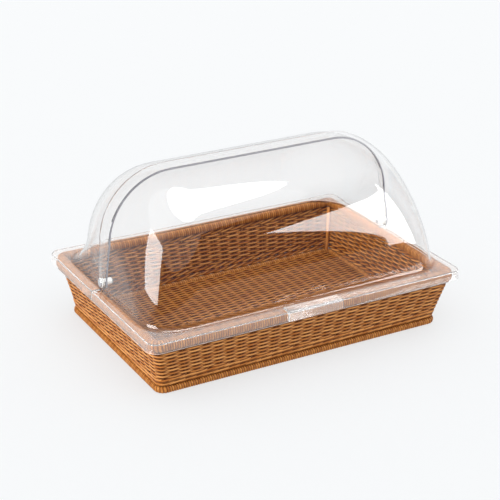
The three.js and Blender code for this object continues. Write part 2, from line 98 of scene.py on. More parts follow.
class Graph:
    """The nodes of a material, a group or a sky."""

    def __init__(self, tree: bpy.types.NodeTree) -> None:
        """Takes the tree that the nodes are added to."""
        self.tree = tree

    @classmethod
    def of_material(cls, name: str) -> tuple[bpy.types.Material, "Graph", bpy.types.Node]:
        """Starts a material.

        Args:
            name: The material's name.

        Returns:
            The material, its graph and its Principled shader.
        """
        made = bpy.data.materials.new(name)
        made.use_nodes = True
        return made, cls(made.node_tree), made.node_tree.nodes["Principled BSDF"]

    @classmethod
    def of_group(
        cls, name: str, inputs: dict[str, str], outputs: dict[str, str]
    ) -> tuple["Graph", bpy.types.Node, bpy.types.Node]:
        """Starts a shader node group.

        Args:
            name: The group's name.
            inputs: Its input sockets, each name with its kind.
            outputs: Its output sockets, each name with its kind.

        Returns:
            Its graph, the node that its inputs come from and the node that its outputs go to.
        """
        tree = bpy.data.node_groups.new(name, "ShaderNodeTree")
        for side, sockets in (("INPUT", inputs), ("OUTPUT", outputs)):
            for label, kind in sockets.items():
                tree.interface.new_socket(label, in_out=side, socket_type="NodeSocket" + kind)
        return cls(tree), tree.nodes.new("NodeGroupInput"), tree.nodes.new("NodeGroupOutput")

    def add(self, kind: str, inputs: dict[int | str, Value], **settings: object) -> bpy.types.Node:
        """Adds a node.

        Args:
            kind: The node's type.
            inputs: Its inputs, each with its value or the socket that feeds it.
            settings: Its own settings, such as its operation.

        Returns:
            The node.
        """
        node = self.tree.nodes.new(kind)
        for setting, value in settings.items():
            setattr(node, setting, value)
        self.feed(node, inputs)
        return node

    def feed(self, node: bpy.types.Node, inputs: dict[int | str, Value]) -> None:
        """Sets some inputs of a node.

        Args:
            node: The node.
            inputs: The inputs, each with its value or the socket that feeds it.
        """
        for label, value in inputs.items():
            if isinstance(value, Socket):
                self.tree.links.new(value, node.inputs[label])
            else:
                node.inputs[label].default_value = value

    def maths(self, operation: str, *terms: Value, clamp: bool = False) -> Socket:
        """The result of a Math node, from its operation and its terms."""
        node = self.add("ShaderNodeMath", dict(enumerate(terms)), operation=operation, use_clamp=clamp)
        return node.outputs["Value"]

    def mixed(self, share: Value, first: Value, second: Value) -> Socket:
        """A mix of two colours, which is all of the second where the share is 1."""
        blend = self.add("ShaderNodeMix", {"Factor": share, "A": first, "B": second}, data_type="RGBA")
        return blend.outputs["Result"]

    def dress(self, shader: bpy.types.Node, effect: bpy.types.Node, relief: float, depth: float) -> None:
        """Feeds a shader with an effect's colour, roughness and height.

        Args:
            shader: The Principled shader.
            effect: The effect's node.
            relief: How strong the relief is, from 0 to 1.
            depth: How deep it is.
        """
        height = effect.outputs["Height"]
        bump = self.add("ShaderNodeBump", {"Strength": relief, "Distance": depth, "Height": height})
        self.feed(shader, {
            "Base Color": effect.outputs["Colour"],
            "Roughness": effect.outputs["Roughness"],
            "Normal": bump.outputs["Normal"],
        })


class Effect:
    """Shader node groups that several materials share, each built once."""

    @staticmethod
    @cache
    def fibre() -> bpy.types.NodeTree:
        """Builds the group that streaks a strand along its length and mixes in its painted shade between
        strands.

        Returns:
            The group.
        """
        graph, source, sink = Graph.of_group(
            "Wicker fibre",
            {"Tone": "Float", "Along": "Vector", "Groove": "Float", "Pale": "Color", "Deep": "Color",
             "Hollow": "Color", "Fineness": "Float", "Roughness": "Float"},
            {"Colour": "Color", "Roughness": "Float", "Height": "Float"},
        )
        streak_share, tone_share, tone_start, gloss_share = 0.55, 0.7, -0.12, 0.16
        given = source.outputs
        scaled = graph.add(
            "ShaderNodeVectorMath", {0: given["Along"], "Scale": given["Fineness"]}, operation="SCALE",
        )
        noise = graph.add(
            "ShaderNodeTexNoise", {"Vector": scaled.outputs["Vector"], "Scale": 1.0, "Detail": 4.0},
        )
        streak = noise.outputs["Fac"]
        tone = graph.maths("MULTIPLY_ADD", given["Tone"], tone_share, tone_start)
        strand = graph.mixed(
            graph.maths("MULTIPLY_ADD", streak, streak_share, tone), given["Pale"], given["Deep"],
        )
        # The colour turns towards the painted shade colour by the share of painted shade
        graph.feed(sink, {
            "Colour": graph.mixed(given["Groove"], strand, given["Hollow"]),
            "Roughness": graph.maths("MULTIPLY_ADD", streak, gloss_share, given["Roughness"]),
            "Height": streak,
        })
        return graph.tree

    @staticmethod
    @cache
    def grain() -> bpy.types.NodeTree:
        """Builds the group that gives a moulded face its fine grain.

        Returns:
            The group.
        """
        graph, source, sink = Graph.of_group(
            "Moulded grain",
            {"Colour": "Color", "Roughness": "Float", "Scale": "Float", "Spread": "Float"},
            {"Colour": "Color", "Roughness": "Float", "Height": "Float"},
        )
        given = source.outputs
        place = graph.add("ShaderNodeTexCoord", {}).outputs["Object"]
        noise = graph.add("ShaderNodeTexNoise", {"Vector": place, "Scale": given["Scale"], "Detail": 3.0})
        speckle = noise.outputs["Fac"]
        noise_middle = 0.5
        centred = graph.maths("SUBTRACT", speckle, noise_middle)
        change = graph.maths("MULTIPLY", centred, given["Spread"])
        tinted = graph.add(
            "ShaderNodeVectorMath",
            {0: given["Colour"], "Scale": graph.maths("ADD", change, 1.0)},
            operation="SCALE",
        )
        graph.feed(sink, {
            "Colour": tinted.outputs["Vector"],
            "Roughness": graph.maths("ADD", change, given["Roughness"], clamp=True),
            "Height": speckle,
        })
        return graph.tree


@dataclass(frozen=True)
class Wicker:
    """Honey brown plastic wicker, streaked along each strand, with painted shade down between strands.

    Attributes:
        name: The material's name.
        pale: The colour of the palest strands.
        deep: The colour of the deepest strands and streaks.
        hollow: The colour of the painted shade down between two strands.
        roughness: The mean roughness.
        streaks_per_metre: How fine the streaks are along a strand.
        sheen_level: How strongly the surface shines.
        relief: How strongly the streaks stand out.
        relief_depth: How deep they are.
    """

    name: str
    pale: Colour
    deep: Colour
    # Dark red-brown of the painted shade between strands
    hollow: Colour = (0.075, 0.010, 0.0006)
    roughness: float = 0.34
    streaks_per_metre: float = 60.0
    sheen_level: float = 0.12
    relief: float = 0.35
    relief_depth: float = 0.2 * MM

    @cache
    def material(self) -> bpy.types.Material:
        """Builds the material once and keeps it.

        Returns:
            The material.
        """
        made, graph, shader = Graph.of_material(self.name)
        # The third attribute is the share of painted shade between strands
        tone, along, groove = (
            graph.add("ShaderNodeAttribute", {}, attribute_name=name).outputs
            for name in (Weave.TONE, Weave.ALONG, Weave.PAINTED_SHADE)
        )
        fibre = graph.add("ShaderNodeGroup", {
            "Tone": tone["Fac"],
            "Along": along["Vector"],
            "Groove": groove["Fac"],
            "Pale": (*self.pale, 1),
            "Deep": (*self.deep, 1),
            "Hollow": (*self.hollow, 1),
            "Fineness": self.streaks_per_metre,
            "Roughness": self.roughness,
        }, node_tree=Effect.fibre())
        graph.feed(shader, {"Specular IOR Level": self.sheen_level})
        graph.dress(shader, fibre, self.relief, self.relief_depth)
        return made


@dataclass(frozen=True)
class ClearPlastic:
    """Clear or frosted plastic sheet that lets light through to what stands under it.

    Attributes:
        name: The material's name.
        tint: The colour of the sheet.
        roughness: The mean roughness, high for a frosted sheet.
        clearness: The share of light that goes through, from 0 to 1.
        mirror_level: How strongly its faces mirror, 0.5 for plain glass.
        shadow: The colour of the light left under one face.
        refraction: How strongly it bends light.
        grains_per_metre: How fine the grain of its roughness is.
        grain_spread: How far the grain changes the roughness.
    """

    name: str
    tint: Colour
    roughness: float
    clearness: float
    mirror_level: float = 0.15
    shadow: Colour = (0.995, 0.995, 0.995)
    refraction: float = 1.49
    grains_per_metre: float = 90.0
    grain_spread: float = 0.02

    @cache
    def material(self) -> bpy.types.Material:
        """Builds the material once and keeps it.

        Returns:
            The material.
        """
        made, graph, shader = Graph.of_material(self.name)
        grain = graph.add("ShaderNodeGroup", {
            "Roughness": self.roughness, "Scale": self.grains_per_metre, "Spread": self.grain_spread,
        }, node_tree=Effect.grain())
        graph.feed(shader, {
            "Base Color": (*self.tint, 1),
            "Roughness": grain.outputs["Roughness"],
            "Transmission Weight": self.clearness,
            "IOR": self.refraction,
            "Specular IOR Level": self.mirror_level,
        })
        path = graph.add("ShaderNodeLightPath", {}).outputs
        passing = graph.add("ShaderNodeBsdfTransparent", {"Color": (*self.shadow, 1)})
        choice = graph.add("ShaderNodeMixShader", {
            "Fac": graph.maths("MAXIMUM", path["Is Shadow Ray"], path["Is Diffuse Ray"]),
            1: shader.outputs["BSDF"],
            2: passing.outputs["BSDF"],
        })
        graph.feed(made.node_tree.nodes["Material Output"], {"Surface": choice.outputs["Shader"]})
        return made


@dataclass(frozen=True)
class Solid:
    """Moulded plastic or metal with a fine grain.

    Attributes:
        name: The material's name.
        colour: The mean colour.
        roughness: The mean roughness.
        metallic: 1 for metal, 0 for plastic.
        grains_per_metre: How fine the grain is.
        grain_spread: How far it changes colour and roughness.
        relief: How strongly it stands out.
        relief_depth: How deep it is.
    """

    name: str
    colour: Colour
    roughness: float
    metallic: float = 0.0
    grains_per_metre: float = 900.0
    grain_spread: float = 0.12
    relief: float = 0.12
    relief_depth: float = 0.1 * MM

    @cache
    def material(self) -> bpy.types.Material:
        """Builds the material once and keeps it.

        Returns:
            The material.
        """
        made, graph, shader = Graph.of_material(self.name)
        grain = graph.add("ShaderNodeGroup", {
            "Colour": (*self.colour, 1),
            "Roughness": self.roughness,
            "Scale": self.grains_per_metre,
            "Spread": self.grain_spread,
        }, node_tree=Effect.grain())
        graph.feed(shader, {"Metallic": self.metallic})
        graph.dress(shader, grain, self.relief, self.relief_depth)
        return made


WALL_WICKER = Wicker("wall_wicker", pale=(0.92, 0.43, 0.13), deep=(0.42, 0.12, 0.013))
FLOOR_WICKER = Wicker("floor_wicker", pale=(0.88, 0.37, 0.06), deep=(0.38, 0.105, 0.008))
BORDER_WICKER = Wicker("wound_wicker", pale=(0.66, 0.28, 0.065), deep=(0.29, 0.085, 0.012))
CORE_CANE = Wicker("stake_wicker", pale=(0.30, 0.12, 0.035), deep=(0.12, 0.045, 0.012), roughness=0.6)
CLEAR = ClearPlastic("polished_sheet", tint=(0.994, 0.996, 0.996), roughness=0.02, clearness=1.0)
FLANGE = ClearPlastic(
    "flange_sheet", tint=(0.99, 0.985, 0.98), roughness=0.04, clearness=0.93, mirror_level=0.45,
)
FLANGE_EDGE = ClearPlastic("pale_flange_edge", tint=(0.97, 0.95, 0.92), roughness=0.3, clearness=0.3)
CUT_EDGE = ClearPlastic("sawn_sheet_edge", tint=(0.26, 0.25, 0.31), roughness=0.3, clearness=0.25)
FROSTED = ClearPlastic(
    "frosted_sheet", tint=(0.97, 0.97, 0.97), roughness=0.2, clearness=0.97, mirror_level=0.2,
)
NYLON = Solid("turned_nylon", colour=(0.86, 0.86, 0.84), roughness=0.38)
GREY_CAP = Solid("moulded_cap", colour=(0.20, 0.18, 0.18), roughness=0.45)
PIN_STEEL = Solid("turned_steel", colour=(0.62, 0.63, 0.65), roughness=0.22, metallic=1.0)


# Meshes


class Piece:
    """Helpers that turn bmesh shapes into finished pieces."""

    @staticmethod
    def finished(
        name: str,
        shape: bmesh.types.BMesh,
        body: Body,
        slot: str,
        materials: Sequence[bpy.types.Material],
        replaces: Sequence[str] = (),
    ) -> bpy.types.Object:
        """Makes a piece from a shape and lets it stand for CAD nodes.

        Args:
            name: The piece's name.
            shape: The finished shape, with its place in its vertices.
            body: The body that the piece rides on.
            slot: The record's material slot; not used.
            materials: The piece's materials.
            replaces: The CAD nodes that it stands for.

        Returns:
            The new object, at the origin.
        """
        data = bpy.data.meshes.new(name)
        for face in shape.faces:
            face.smooth = True
        shape.to_mesh(data)
        shape.free()
        for material in materials:
            data.materials.append(material)
        piece = bpy.data.objects.new(name, data)
        bpy.context.scene.collection.objects.link(piece)
        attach(piece, body.value)
        if replaces:
            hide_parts(*replaces)
        log.info("%s: %d faces on %s", name, len(data.polygons), body.value)
        return piece

    @staticmethod
    def grid(
        shape: bmesh.types.BMesh, along: int, around: int
    ) -> Iterator[tuple[bmesh.types.BMVert, int, int]]:
        """Adds a grid and hands out its vertices to be moved.

        Args:
            shape: The bmesh that the grid is added to.
            along: The number of cells in the first direction.
            around: The number of cells in the second direction.

        Yields:
            Each vertex with its two indices.
        """
        made = bmesh.ops.create_grid(shape, x_segments=along, y_segments=around, size=0.5)["verts"]
        for vert in made:
            yield vert, round((vert.co.x + 0.5) * along), round((vert.co.y + 0.5) * around)

    @staticmethod
    def close_up(shape: bmesh.types.BMesh) -> None:
        """Merges the doubles of a shape and turns its faces outwards.

        Args:
            shape: The shape.
        """
        bmesh.ops.remove_doubles(shape, verts=shape.verts, dist=MERGE_REACH)
        bmesh.ops.dissolve_degenerate(shape, edges=shape.edges, dist=MERGE_REACH)
        bmesh.ops.recalc_face_normals(shape, faces=shape.faces)

    @staticmethod
    def turned(profile: Profile, centre: Vector, end: End, steps: int = 40) -> bmesh.types.BMesh:
        """Turns a profile about the pivot axis.

        Args:
            profile: Points as the distance out from the middle along X, and the radius.
            centre: A point on the axis.
            end: The end of the cover that the piece belongs to.
            steps: The number of steps in the turn.

        Returns:
            The turned shape.
        """
        shape = bmesh.new()
        points = [shape.verts.new((end.value * out, 0, radius)) for out, radius in profile]
        edges = [shape.edges.new(pair) for pair in zip(points, points[1:])]
        bmesh.ops.spin(
            shape,
            geom=points + edges,
            cent=(0, 0, 0),
            axis=(1, 0, 0),
            angle=TURN,
            steps=steps,
            use_merge=True,
        )
        Piece.close_up(shape)
        bmesh.ops.translate(shape, verts=shape.verts, vec=Vector((0, centre.y, centre.z)))
        return shape


@dataclass
class Loop:
    """A rounded rectangle seen from above, measured by the share of its length.

    It starts in the middle of the front side and runs to the right.

    Attributes:
        half_length: From its middle to its ends.
        half_width: From its middle to its front and back.
        radius: Its corners.
        centre_y: Y of its middle.
        height: Height at which it lies.
    """

    half_length: float
    half_width: float
    radius: float
    centre_y: float
    height: float

    @property
    def stretches(self) -> list[float]:
        """The lengths of its stretches, straights and corners by turns.

        Returns:
            The lengths, from the half straight at the start to the half straight at the end.
        """
        corner = self.radius * TURN / 4
        front = 2 * (self.half_length - self.radius)
        side = 2 * (self.half_width - self.radius)
        return [front / 2, corner, side, corner, front, corner, side, corner, front / 2]

    @property
    def length(self) -> float:
        """The length all the way round."""
        return sum(self.stretches)

    def at(self, share: float) -> tuple[Vector, Vector]:
        """Finds a point of the loop.

        Args:
            share: How far round the point is, from 0 to 1.

        Returns:
            The point, and the direction that leads out of the loop there.
        """
        stretches = self.stretches
        rest = (share % 1) * sum(stretches)
        index = 0
        while index < len(stretches) - 1 and rest > stretches[index]:
            rest -= stretches[index]
            index += 1
        inner_x, inner_y = self.half_length - self.radius, self.half_width - self.radius
        centres = ((inner_x, -inner_y), (inner_x, inner_y), (-inner_x, inner_y), (-inner_x, -inner_y))
        quarter, in_corner = divmod(index, 2)
        turn = (quarter - 1) * TURN / 4
        if in_corner:
            turn += rest / self.radius
        outward = Vector((math.cos(turn), math.sin(turn), 0))
        if in_corner:
            point = Vector((*centres[quarter], 0)) + outward * self.radius
        else:
            start = (0, -inner_y) if index == 0 else centres[quarter - 1]
            onward = Vector((-outward.y, outward.x, 0))
            point = Vector((*start, 0)) + outward * self.radius + onward * rest
        return point + Vector((0, self.centre_y, self.height)), outward

    def blended(self, other: "Loop", share: float) -> "Loop":
        """The loop that lies between this one and another about the same middle.

        Args:
            other: The other loop.
            share: How far the way to it is, from 0 to 1.

        Returns:
            The loop.
        """
        def mix(ours: float, theirs: float) -> float:
            """A size between ours and theirs."""
            return ours + (theirs - ours) * share

        return Loop(
            mix(self.half_length, other.half_length),
            mix(self.half_width, other.half_width),
            mix(self.radius, other.radius),
            self.centre_y,
            mix(self.height, other.height),
        )


@dataclass(frozen=True)
class Spot:
    """A point on the middle line of a strand.

    Attributes:
        centre: The point.
        side: The direction to the strand's side.
        swung: The direction in which it has swung past a stake, 1 long where it stands out farthest.
    """

    centre: Vector
    side: Vector
    swung: Vector = field(default_factory=Vector)


class Weave:
    """Strands that share one mesh and carry the values that their material reads.

    Attributes:
        TONE: Name of the strand's tone, from 0 to 1.
        ALONG: Name of the place along and round the strand.
        PAINTED_SHADE: Name of the share of painted shade on a point, darkest where it lies down between
            strands and where it meets a neighbour.
        FLANK_SHADE: How strongly painted shade darkens a strand where it meets its neighbour.
        SIDE_STEP: Distance in the streaks' pattern from one side of a strand to the next.
    """

    TONE = "strand_tone"
    ALONG = "strand_along"
    PAINTED_SHADE = "strand_groove"
    FLANK_SHADE = 1.3
    SIDE_STEP = 0.002

    def __init__(self) -> None:
        """Starts an empty weave."""
        self.shape = bmesh.new()
        layers = self.shape.verts.layers
        self.tone = layers.float.new(self.TONE)
        self.groove = layers.float.new(self.PAINTED_SHADE)
        self.along = layers.float_vector.new(self.ALONG)
        self.count = 0

    def next_tone(self) -> float:
        """A tone for the next strand, spread evenly and never the same twice running.

        Returns:
            The tone, from 0 to 1.
        """
        self.count += 1
        golden_share = (math.sqrt(5) - 1) / 2
        return (self.count * golden_share) % 1

    def mark(
        self,
        vert: bmesh.types.BMVert,
        tone: float,
        along: tuple[float, float, float],
        groove: float = 0.0,
    ) -> None:
        """Gives a vertex the values that its material reads: its tone, its place along the strand and its
        share of painted shade.
        """
        vert[self.tone], vert[self.along], vert[self.groove] = tone, along, groove

    def strand(
        self,
        path: Sequence[Spot],
        section: tuple[float, float],
        closed: bool,
        sides: int = 6,
        lies_flat: bool = False,
    ) -> None:
        """Adds one strand of oval section.

        Args:
            path: The spots that its middle runs through.
            section: Half the strand's size to its side, and half its height.
            closed: Whether it runs round to its own start; otherwise its ends are closed.
            sides: The number of sides of its section.
            lies_flat: Whether its neighbours are beside it, not over and under it.
        """
        last = len(path) - 1
        tone = self.next_tone()
        lengths = [0.0]
        for before, after in zip(path, path[1:]):
            lengths.append(lengths[-1] + (after.centre - before.centre).length)
        half_depth, half_height = section
        for vert, column, row in Piece.grid(self.shape, last, sides):
            spot = path[column]
            angle = TURN * row / sides
            across, upright = math.cos(angle), math.sin(angle)
            vert.co = spot.centre
            if closed or column not in (0, last):
                vert.co = spot.centre + spot.side * (half_depth * across) + UP * (half_height * upright)
            # Painted shade: the side that faces away from the swing and the flanks where neighbours meet
            # are darkened
            ducked = -spot.swung.dot(spot.side * across + UP * upright)
            flank = abs(across if lies_flat else upright)
            groove = min(1.0, max(0.0, ducked) + self.FLANK_SHADE * flank)
            self.mark(vert, tone, (lengths[column], tone * sides, self.SIDE_STEP * row), groove)

    def rod(self, path: Sequence[tuple[Vector, Vector]], radius: float, sides: int = 8) -> None:
        """Adds an upright rod with closed ends.

        Args:
            path: Its middle line, with the direction out of the basket.
            radius: The rod's radius.
            sides: The number of sides of its section.
        """
        tone = self.next_tone()
        full = [path[0], *path, path[-1]]
        last = len(full) - 1
        for vert, column, row in Piece.grid(self.shape, last, sides):
            centre, outward = full[column]
            angle = TURN * row / sides
            reach = 0 if column in (0, last) else radius
            side = outward.cross(UP)
            vert.co = centre + outward * (reach * math.cos(angle)) + side * (reach * math.sin(angle))
            self.mark(vert, tone, (centre.z, tone * sides, self.SIDE_STEP * row))

    def finished(
        self, name: str, finish: Wicker, replaces: Sequence[str] = (), slot: str = "wicker"
    ) -> None:
        """Closes the strands and makes them a piece of the basket.

        Args:
            name: The piece's name.
            finish: The wicker's finish.
            replaces: The CAD nodes that it stands for.
            slot: The record's material slot.
        """
        Piece.close_up(self.shape)
        Piece.finished(name, self.shape, Body.BASKET, slot, [finish.material()], replaces)


# Basket


@dataclass
class WovenBasket:
    """The tray basket: woven walls and floor between two wrapped borders.

    Attributes:
        corner_radius: Outer corners, seen from above.
        top_width: Width of the top border.
        foot_width: Width of the foot border.
        strand_section: Half the depth and half the height of the wall's strands.
        wale_section: The same for the strands of the waling.
        wall_swing: How far a strand swings out and in as it passes the stakes.
        wall_pitch: From one row of the wall to the next.
        wall_steps: Steps of a wall strand from one stake to the next.
        stakes: Stakes all the way round, divisible by the wale's reach.
        stake_radius: Stakes of the wall and of the floor.
        stake_levels: Stretches of a wall stake.
        wale_reach: Stakes from one float of a wale to the next of the same strand.
        wale_pitch: Height of one round of waling.
        wale_spare: Half heights of a strand that a wale's climb leaves free.
        wale_steepness: How sharply a wale ducks behind its stake.
        wale_outset: How much longer it stays outside than inside.
        foot_wales: Rounds of waling over the foot border.
        top_wales: Rounds of waling under the top border.
        wrap_pitch: From one turn of a border's wrapping to the next.
        wrap_groove: Depth of the groove between two turns.
        wrap_steps: Steps along the border from one turn to the next.
        wrap_sides: Sides of the border's section.
        wrap_squareness: Power that squares the section, 1 for an oval.
        wrap_shade: How narrow the painted shade in the groove between two turns is.
        wrap_streak: Distance in the streaks' pattern from one side of the section to the next.
        floor_pitch: From one strand of the floor to the next.
        floor_stake_pitch: From one stake of the floor to the next.
        floor_section: Half the width and half the height of the floor's strands.
        floor_swing: How far they swing up and down.
        floor_steps: Steps of a floor strand from one stake to the next.
        floor_sides: Sides of the section of the floor's strands and stakes.
        corner_stake_radius: The leaning stakes inside the corners.
        corner_stake_sides: Sides of their section.
    """

    corner_radius: float = 14 * MM
    top_width: float = 11 * MM
    foot_width: float = 9 * MM
    strand_section: tuple[float, float] = (1.0 * MM, 2.15 * MM)
    wale_section: tuple[float, float] = (1.0 * MM, 2.3 * MM)
    wall_swing: float = 1.0 * MM
    wall_pitch: float = 2.8 * MM
    wall_steps: int = 6
    stakes: int = 88
    stake_radius: float = 1.0 * MM
    stake_levels: int = 4
    wale_reach: int = 4
    wale_pitch: float = 6.2 * MM
    wale_spare: float = 1.25
    wale_steepness: float = 2.5
    wale_outset: float = 0.7
    foot_wales: int = 2
    top_wales: int = 1
    wrap_pitch: float = 3.3 * MM
    wrap_groove: float = 0.75 * MM
    wrap_steps: int = 6
    wrap_sides: int = 16
    wrap_squareness: float = 0.75
    wrap_shade: float = 1.1
    wrap_streak: float = 0.03
    floor_pitch: float = 3.35 * MM
    floor_stake_pitch: float = 15 * MM
    floor_section: tuple[float, float] = (2.1 * MM, 1.2 * MM)
    floor_swing: float = 0.8 * MM
    floor_steps: int = 5
    floor_sides: int = 8
    corner_stake_radius: float = 2.2 * MM
    corner_stake_sides: int = 16
    foot: Loop = field(init=False)
    rim: Loop = field(init=False)

    def __post_init__(self) -> None:
        """Takes the wall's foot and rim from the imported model."""
        low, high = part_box("side_weave")
        self.rim = self.middle_loop("top_border", self.top_width, high.z)
        self.foot = self.middle_loop("foot_border", self.foot_width, low.z)

    def middle_loop(self, node: str, width: float, height: float) -> Loop:
        """The middle line of a border, taken from its CAD node's box.

        Args:
            node: The border's CAD node.
            width: The border's width.
            height: The height at which the loop lies.

        Returns:
            The loop.
        """
        low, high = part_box(node)
        return Loop(
            (high.x - low.x - width) / 2,
            (high.y - low.y - width) / 2,
            self.corner_radius - width / 2,
            (high.y + low.y) / 2,
            height,
        )

    def wall_loop(self, height: float) -> Loop:
        """The wall's middle line at a height."""
        rise = self.rim.height - self.foot.height
        return self.foot.blended(self.rim, (height - self.foot.height) / rise)

    def swung_path(self, place: Callable[[float], tuple[float, float]]) -> list[Spot]:
        """A path round the wall that swings past the stakes.

        Args:
            place: Gives the path's height and its swing from its place counted in stakes.
                A swing of 1 is farthest out, and -1 farthest in.

        Returns:
            The path, whose last point is its first.
        """
        count = self.stakes * self.wall_steps
        path = []
        for index in range(count + 1):
            stake = (index % count) / self.wall_steps
            height, swing = place(stake)
            point, outward = self.wall_loop(height).at(stake / self.stakes)
            path.append(Spot(point + outward * (swing * self.wall_swing), outward, outward * swing))
        return path

    def wall(self) -> None:
        """Weaves the wall, with its rounds of waling at the foot and under the rim."""
        weave = Weave()
        foot, rim = self.foot.height, self.rim.height
        plain_from = foot + self.foot_wales * self.wale_pitch
        plain_to = rim - self.top_wales * self.wale_pitch
        rows = round((plain_to - plain_from) / self.wall_pitch)
        for row in range(rows):
            level = plain_from + (row + 0.5) * (plain_to - plain_from) / rows
            side = -1 if row % 2 else 1
            path = self.swung_path(lambda stake: (level, side * math.cos(math.pi * stake)))
            weave.strand(path, self.strand_section, closed=True)
        for start, rounds in ((foot, self.foot_wales), (plain_to, self.top_wales)):
            for index in range(rounds):
                self.add_wale(weave, start + (index + 0.5) * self.wale_pitch)
        weave.finished("woven_wall", WALL_WICKER, ["side_weave"])

    def add_wale(self, weave: Weave, level: float) -> None:
        """Adds one round of waling: long floats that climb past all stakes but one, then duck behind it.

        Args:
            weave: The wall's weave.
            level: The middle height of the round.
        """
        climb = (self.wale_pitch - self.wale_spare * self.wale_section[1]) / 2
        hidden_share = 1 / self.wale_reach
        float_middle = (1 - hidden_share) / 2

        for strand in range(self.wale_reach):
            def place(stake: float) -> tuple[float, float]:
                """The strand's height and swing.

                Args:
                    stake: Its place counted in stakes.

                Returns:
                    The height, and the swing from -1 to 1.
                """
                share = ((stake - strand) / self.wale_reach) % 1
                risen = min(share / (1 - hidden_share), (1 - share) / hidden_share)
                outside = math.cos(TURN * (share - float_middle)) + self.wale_outset
                return level + climb * (2 * risen - 1), math.tanh(self.wale_steepness * outside)

            weave.strand(self.swung_path(place), self.wale_section, closed=True)

    def wall_stakes(self) -> None:
        """Sets the stakes that the wall is woven round."""
        weave = Weave()
        foot, rim = self.foot.height, self.rim.height
        for stake in range(self.stakes):
            loops = [self.wall_loop(foot + (rim - foot) * share) for share in shares(self.stake_levels)]
            weave.rod([loop.at(stake / self.stakes) for loop in loops], self.stake_radius)
        weave.finished("wall_stakes", CORE_CANE)

    def corner_stakes(self) -> None:
        """Sets the stout stake inside each corner, where its CAD node leans."""
        radius = self.corner_stake_radius
        for end in End:
            for depth, word in ((-1, "front"), (1, "rear")):
                node = f"corner_stake_{word}_{end.name.lower()}"
                low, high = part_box(node)
                outer_x, inner_x = (high.x, low.x) if end is End.RIGHT else (low.x, high.x)
                outer_y, inner_y = (high.y, low.y) if depth > 0 else (low.y, high.y)
                outward = Vector((end.value, depth, 0)).normalized()
                inset = Vector((end.value * radius, depth * radius, 0))
                foot = Vector((inner_x, inner_y, low.z)) + inset
                top = Vector((outer_x, outer_y, high.z)) - inset
                weave = Weave()
                weave.rod([(foot, outward), (top, outward)], radius, self.corner_stake_sides)
                weave.finished(f"{node}_cane", WALL_WICKER, [node])

    def border(self, node: str, width: float) -> None:
        """Winds strand round a border, turn by turn.

        Args:
            node: The border's CAD node.
            width: The border's width.
        """
        low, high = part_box(node)
        loop = self.middle_loop(node, width, (low.z + high.z) / 2)
        turns = round(loop.length / self.wrap_pitch)
        last = turns * self.wrap_steps
        spots = [loop.at(index / last) for index in range(last)]
        half_width, half_height = width / 2, (high.z - low.z) / 2
        weave = Weave()
        tones = [weave.next_tone() for _ in range(turns)]
        for vert, column, row in Piece.grid(weave.shape, last, self.wrap_sides):
            centre, outward = spots[column % last]
            angle = TURN * row / self.wrap_sides
            turn = column / self.wrap_steps + angle / TURN
            crest = abs(math.sin(math.pi * turn))
            depth = self.wrap_groove * (1 - math.sqrt(crest))
            across, upright = (
                math.copysign(abs(reach) ** self.wrap_squareness, reach)
                for reach in (math.cos(angle), math.sin(angle))
            )
            sideways = outward * (across * (half_width - depth))
            vert.co = centre + sideways + UP * (upright * (half_height - depth))
            tone = tones[math.floor(turn) % turns]
            # The last value is painted shade, darkest in the groove between two turns
            weave.mark(vert, tone, (self.wrap_streak * row, turn, 0), max(0.0, 1 - crest * self.wrap_shade))
        weave.finished(f"{node}_wrapping", BORDER_WICKER, [node], slot="wicker_border")

    def floor(self) -> None:
        """Weaves the floor: strands run left and right over stakes that run front to back."""
        low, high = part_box("floor_weave")
        length, width, middle = high.x - low.x, high.y - low.y, (low.z + high.z) / 2
        stakes = round(length / self.floor_stake_pitch)
        strands = round(width / self.floor_pitch)
        edge = self.floor_section[0]
        weave = Weave()
        for row in range(strands):
            y = low.y + edge + (width - 2 * edge) * row / (strands - 1)
            side = -1 if row % 2 else 1
            path = []
            for share in shares(stakes * self.floor_steps):
                swing = side * math.cos(math.pi * (share * stakes - 0.5))
                centre = Vector((low.x + length * share, y, middle + swing * self.floor_swing))
                path.append(Spot(centre, Vector((0, 1, 0)), UP * swing))
            path = [path[0], *path, path[-1]]
            weave.strand(path, self.floor_section, closed=False, sides=self.floor_sides, lies_flat=True)
        weave.finished("woven_floor", FLOOR_WICKER, ["floor_weave"])
        canes = Weave()
        for stake in range(stakes):
            x = low.x + length * (stake + 0.5) / stakes
            front, rear = (Spot(Vector((x, y, middle)), Vector((1, 0, 0))) for y in (low.y, high.y))
            section = (self.stake_radius, self.stake_radius)
            canes.strand([front, front, rear, rear], section, closed=False, sides=self.floor_sides)
        canes.finished("floor_stakes", CORE_CANE)

    def build(self) -> None:
        """Builds the whole basket."""
        self.border("top_border", self.top_width)
        self.border("foot_border", self.foot_width)
        self.wall()
        self.wall_stakes()
        self.corner_stakes()
        self.floor()


# Clear cover


@dataclass
class ShellForm:
    """The sizes in which the lid and the rear shell differ.

    Attributes:
        radius: From the pivot axis to the outer face.
        end: From the middle to the outer face of an end wall at the pivot.
        draft: How far the end wall leans in towards the shoulder.
        flare_start: Angle from straight up at which the corners begin to tighten, in degrees.
        easing: Power with which they tighten towards the flange.
        step: How far the shell lies outside the rear shell.
    """

    radius: float
    end: float
    draft: float
    flare_start: float
    easing: float
    step: float = 0.0


